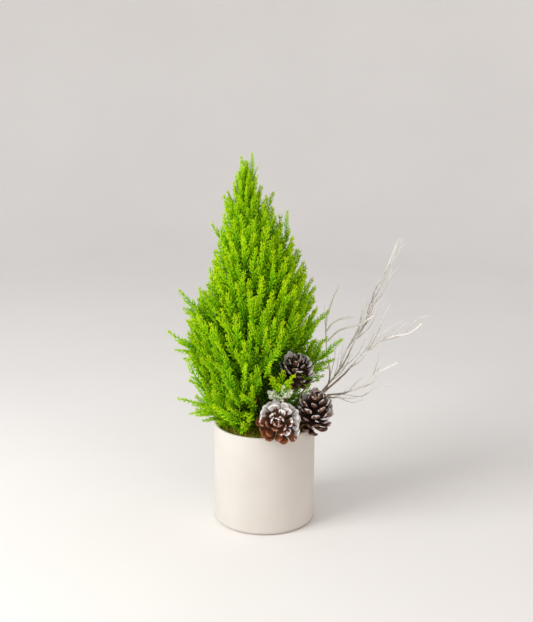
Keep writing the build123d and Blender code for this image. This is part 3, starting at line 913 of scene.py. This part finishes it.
def lines_at(lines, owner, way):
    """The point on each vertex's own centre line at its share of its stations."""
    place = way * (lines.shape[1] - 1)
    low = np.minimum(place.astype(int), lines.shape[1] - 2)
    part = (place - low)[:, None]
    return lines[owner, low] * (1 - part) + lines[owner, low + 1] * part


def cone_core(base, axis, length, radius):
    """The woody core that the scales grow from."""
    t = np.linspace(0, 1, 9)
    line = base + axis * (t * length * 0.97)[:, None]
    radii = radius * (0.26 - 0.16 * t)[None]
    points, triangles, _ = closed_tubes(line[None], radii, radii, 12)
    return points, triangles


def clear_of_pot(points, owner, count):
    """True for scales with no point in the pot's wall."""
    _, pot_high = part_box("cover_pot")
    around = np.hypot(points[:, 0], points[:, 1])
    inside = (around < pot_high[0] + 0.6 * MM) & (points[:, 2] < pot_high[2] + 0.6 * MM)
    return np.bincount(owner[inside], minlength=count) == 0


# ---------------------------------------------------------------- twigs

BUNDLE_FOOT = np.array((38, 8, 112)) * MM
BUNDLE_NECK = np.array((80, 12, 178)) * MM
BUNDLE_WAY = unit(BUNDLE_NECK - BUNDLE_FOOT)
BUNDLE_RING = 3.5 * MM
# Each twig: its place round the bundle in degrees, its radius in the bundle and at its tip, how many fine
# shoots it has, its points past the neck, and its side shoots' points, all in millimetres
TWIGS = {
    "twig_low": dict(place=300, radius=1.3, tip=1.4, fine=5,
                     fan=((118, 9, 190), (138, 5, 198), (157, 2, 211), (165, 0, 224), (200, -6, 244)),
                     shoots=(((128, 6, 192), (138, 9, 208), (147, 10, 214)),)),
    "twig_right": dict(place=0, radius=1.3, tip=1.35, fine=9,
                       fan=((115, 14, 214), (137, 16, 238), (160, 17, 259), (187, 15, 275), (213, 11, 282),
                            (233, 8, 299)),
                       shoots=(((150, 17, 250), (163, 21, 268), (171, 23, 279)),)),
    "twig_tall": dict(place=60, radius=1.2, tip=0.45, fine=10,
                      fan=((112, 20, 222), (135, 30, 265), (153, 40, 301), (166, 47, 335), (184, 54, 375),
                           (198, 60, 412)), shoots=()),
    "twig_mid": dict(place=120, radius=1.1, tip=0.5, fine=9,
                     fan=((108, 24, 216), (126, 38, 254), (146, 46, 290), (156, 54, 326)), shoots=()),
    "twig_left": dict(place=180, radius=1.1, tip=1.35, fine=2,
                      fan=((98, 24, 208), (94, 36, 245), (93, 42, 290), (101, 42, 322), (112, 40, 349)),
                      shoots=(((93, 40, 276), (104, 39, 291), (121, 36, 299), (137, 33, 300)),
                              ((94, 38, 262), (112, 30, 281), (140, 22, 292), (164, 16, 310)))),
    "twig_short": dict(place=240, radius=1.0, tip=1.1, fine=3,
                       fan=((104, 0, 186), (117, -6, 187), (128, -9, 188), (141, -12, 191)), shoots=()),
}


def smooth_route(points, per_span=6):
    """A Catmull-Rom line through points."""
    points = np.asarray(points, float)
    padded = np.concatenate((2 * points[:1] - points[1:2], points, 2 * points[-1:] - points[-2:-1]))
    t = np.linspace(0, 1, per_span, endpoint=False)[:, None]
    spans = []
    for a, b, c, d in zip(padded, padded[1:], padded[2:], padded[3:]):
        spans.append(0.5 * (2 * b + (c - a) * t + (2 * a - 5 * b + 4 * c - d) * t ** 2
                            + (3 * b - a - 3 * c + d) * t ** 3))
    return np.concatenate((*spans, points[-1:]))


def twig_line(gathered, points, start_radius, end_radius, frost, dice, wobble):
    """One woody shoot: tapered, with a swelling at each bud, a slightly crooked line, and frost marks."""
    line = smooth_route(points)
    count = len(line)
    share = np.linspace(0, 1, count)
    crook = dice.normal(0, wobble, (count, 3))
    crook[:2] = 0
    line = line + crook
    radii = start_radius + (end_radius - start_radius) * share
    buds = 1 + 0.28 * (np.sin(np.arange(count) * 1.9 + dice.uniform(0, 6)) > 0.86)
    radii = (radii * buds)[None]
    made, triangles, way = closed_tubes(line[None], radii, radii, 7)
    frosted = np.interp(way, *np.array(frost).T)
    gathered.add(made, triangles, np.stack((frosted, way), 1))
    return line


def build_twig(order, name, material, place, radius, tip, fine, fan, shoots):
    """A pale twig from its foot in the bundle to its tip, with the shoots that fork from it."""
    dice = np.random.default_rng(200 + order)
    angle = math.radians(place)
    across, over = ring_axes(BUNDLE_WAY)
    offset = (across * math.cos(angle) + over * math.sin(angle)) * BUNDLE_RING
    route = [BUNDLE_FOOT + offset, BUNDLE_NECK + offset, *np.array(fan) * MM]
    shape = Geometry()
    main = twig_line(shape, route, (radius + 0.1) * MM, tip * MM, ((0.3, 0.1), (0.54, 1)), dice, 0.15 * MM)
    for shoot in shoots:
        points = np.array(shoot) * MM
        points[0] = main[np.linalg.norm(main - points[0], axis=1).argmin()]
        twig_line(shape, points, 1.35 * MM, 1.35 * MM, ((0, 0.8), (0.1, 1.1)), dice, 0.15 * MM)
    for _ in range(fine):
        pick = int(len(main) * dice.uniform(0.30, 0.72))
        start = main[pick]
        ahead = unit(main[min(pick + 2, len(main) - 1)] - main[pick - 1])
        turn = unit(np.cross(ahead, dice.normal(0, 1, 3)))
        reach = dice.uniform(30, 84) * MM
        way = unit(ahead + turn * dice.uniform(0.12, 0.42))
        points = [start, start + way * reach * 0.4, start + unit(way + UP * 0.30) * reach * 0.75,
                  start + unit(way + UP * 0.2) * reach]
        twig_line(shape, points, 0.5 * MM, 0.26 * MM, ((0, 0.3), (0.5, 0.45), (1, 0.8)), dice, 0.3 * MM)
    if name == "twig_tall":
        add_curls(shape, main, dice)
    points, triangles, marks = shape.arrays()
    piece = make_mesh(f"{name}_shoots", points, triangles)
    add_values(piece, "frost", marks[:, 0])
    place_piece(piece, name, material)


def add_curls(shape, main, dice):
    """Fine shoots beside the top of the tall twig, which curl over at their ends."""
    for order in range(4):
        first = int(len(main) * (0.46 + 0.06 * order))
        rows = np.concatenate((main[first:-1:3], main[-1:]))
        share = np.linspace(0, 1, len(rows))
        swing = (9 - 6 * order) * np.sin(share * 3.4 + 0.4 * order) + 2.5 * np.sin(share * 14 + order)
        sideways = np.stack((swing, swing * (order - 1.5), -4 * order * share), 1) * MM
        points = rows + sideways * share[:, None] ** 0.5
        hook = np.array((5 + order, -1, 2)) * MM
        points = [*points, points[-1] + hook, points[-1] + hook * 1.5 - UP * 5 * MM]
        twig_line(shape, points, 0.5 * MM, 0.28 * MM, ((0, 0.2), (1, 0.8)), dice, 0.3 * MM)


def ring_axes(way):
    """The two directions across the bundle that its twigs are spaced by."""
    across = unit(np.cross(UP, way))
    return across, np.cross(way, across)


# ---------------------------------------------------------------- moss

def build_moss():
    """A lumpy mat with thousands of short curled strands, filling the pot to just below its rim."""
    low, high = (np.array(corner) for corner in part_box("moss_mat"))
    radius = high[0]
    dice = np.random.default_rng(91)
    shape = Geometry()
    rings, turns = 26, 96
    spin = np.arange(turns) * 2 * math.pi / turns
    share = np.linspace(0, 1, rings + 1)[1:]
    edge = low[2] + 8.5 * MM
    grid_radius = share[:, None] * radius * np.ones(turns)
    xs = grid_radius * np.cos(spin)
    ys = grid_radius * np.sin(spin)
    lumps = (1.5 * np.sin(xs * 210 + 1) * np.cos(ys * 190) + 1.0 * np.sin(xs * 430 + ys * 380)
             + 0.6 * np.sin(ys * 820 - xs * 600)) * MM
    tops = edge + (high[2] - edge) * (1 - share[:, None] ** 2) + lumps * (1 - 0.4 * share[:, None])
    top = np.stack((xs, ys, tops), -1).reshape(-1, 3)
    under = np.stack((xs[-1], ys[-1], np.full(turns, low[2])), -1)
    points = np.concatenate((np.array(((0, 0, high[2]),)), top, under, np.array(((0, 0, low[2]),))))
    triangles = ring_triangles(rings + 1, turns)[:, ::-1]
    litter = np.full((len(points), 2), (0.15, 0.6)) + dice.uniform(0, 0.1, (len(points), 2))
    shape.add(points, triangles, litter)

    strands = 5200
    far = np.sqrt(dice.uniform(0.02, 1, strands)) * (radius - 1.2 * MM)
    angle = dice.uniform(0, 2 * math.pi, strands)
    foot = level_ways(angle) * far[:, None]
    foot[:, 2] = edge + (high[2] - edge) * (1 - (far / radius) ** 2) - 1.0 * MM
    lean = dice.normal(0, 1, (strands, 3))
    lean[:, 2] = np.abs(lean[:, 2]) + 0.5
    lean = unit(lean)
    curl = unit(np.cross(lean, dice.normal(0, 1, (strands, 3))))
    reach = dice.uniform(3.0, 8.0, strands)[:, None] * MM
    lines = np.stack([foot + lean * reach * share + curl * reach * 0.45 * share ** 2
                      for share in (0, 0.3, 0.6, 0.85, 1)], 1)
    around = np.hypot(lines[..., 0], lines[..., 1])
    limit = radius - 0.3 * MM
    lines[..., :2] *= np.minimum(1, limit / np.maximum(around, 0.001 * MM))[..., None]
    radii = np.broadcast_to(np.array((0.2, 0.50, 0.42, 0.35, 0.1)) * MM, (strands, 5))
    points, triangles, way = closed_tubes(lines, radii, radii, 3)
    tone = np.repeat(dice.uniform(0.02, 0.98, strands) ** 1.2, len(points) // strands)
    shape.add(points, triangles, np.stack((0.25 + 0.7 * way, tone), 1))
    piece = make_mesh("moss_strands", *shape.arrays())
    place_piece(piece, "moss_mat", moss_material())


# ---------------------------------------------------------------- small hard parts

def build_tie(material):
    """Florist's wire wound round the twigs."""
    points = node_points("twig_tie")
    along = (points - BUNDLE_FOOT) @ BUNDLE_WAY
    off = np.linalg.norm(points - BUNDLE_FOOT - along[:, None] * BUNDLE_WAY, axis=1)
    radius = (off.min() + off.max()) / 2
    across, over = ring_axes(BUNDLE_WAY)
    wire = 0.35 * MM
    turns, steps = 10, 18
    count = turns * steps + 1
    spin = np.arange(count) * 2 * math.pi / steps
    height = np.linspace(along.min() + wire, along.max() - wire, count)
    line = (BUNDLE_FOOT + height[:, None] * BUNDLE_WAY
            + across * (radius * np.cos(spin))[:, None] + over * (radius * np.sin(spin))[:, None])
    radii = np.full((1, count), wire)
    made, triangles, _ = closed_tubes(line[None], radii, radii, 7)
    place_piece(make_mesh("twig_tie_wire", made, triangles), "twig_tie", material)


# Each plain part's material: its name, light tone, dark tone, grain, roughness and relief
PLAIN_PARTS = {
    "liner_pot": ("liner_plastic", (0.030, 0.030, 0.031), (0.018, 0.018, 0.019), 240, 0.5, 0.3),
    "cement_ballast": ("cement", (0.42, 0.40, 0.38), (0.24, 0.23, 0.21), 160, 0.9, 0.3),
    "foam_block": ("dry_foam", (0.10, 0.18, 0.07), (0.05, 0.10, 0.04), 900, 0.95, 0.3),
    "trunk": ("trunk_bark", (0.16, 0.085, 0.045), (0.06, 0.030, 0.018), 260, 0.85, 0.6),
}


def finish_hard_parts():
    """Materials for the CAD nodes that stay as they are."""
    finish_node("cover_pot", ceramic_material())
    for name, settings in PLAIN_PARTS.items():
        finish_node(name, plain_material(*settings))
    wood = plain_material("pick_wood", (0.52, 0.36, 0.20), (0.36, 0.23, 0.12), 500, 0.7)
    for name in sorted(NODES):
        if name.endswith("_pick"):
            finish_node(name, wood)


# ---------------------------------------------------------------- put together

make_camera()
make_studio()
finish_hard_parts()
plume_shapes, leaf_material = build_crown()
build_loose_sprays(plume_shapes, leaf_material)
build_frosted_sprig()
for cone, settings in PINE_CONES.items():
    build_pine_cone(cone, **settings)
pale_bark = twig_material()
for order, (twig, settings) in enumerate(TWIGS.items()):
    build_twig(order, twig, pale_bark, **settings)
build_tie(plain_material("green_wire", (0.045, 0.11, 0.04), (0.025, 0.07, 0.025), 400, 0.45))
build_moss()
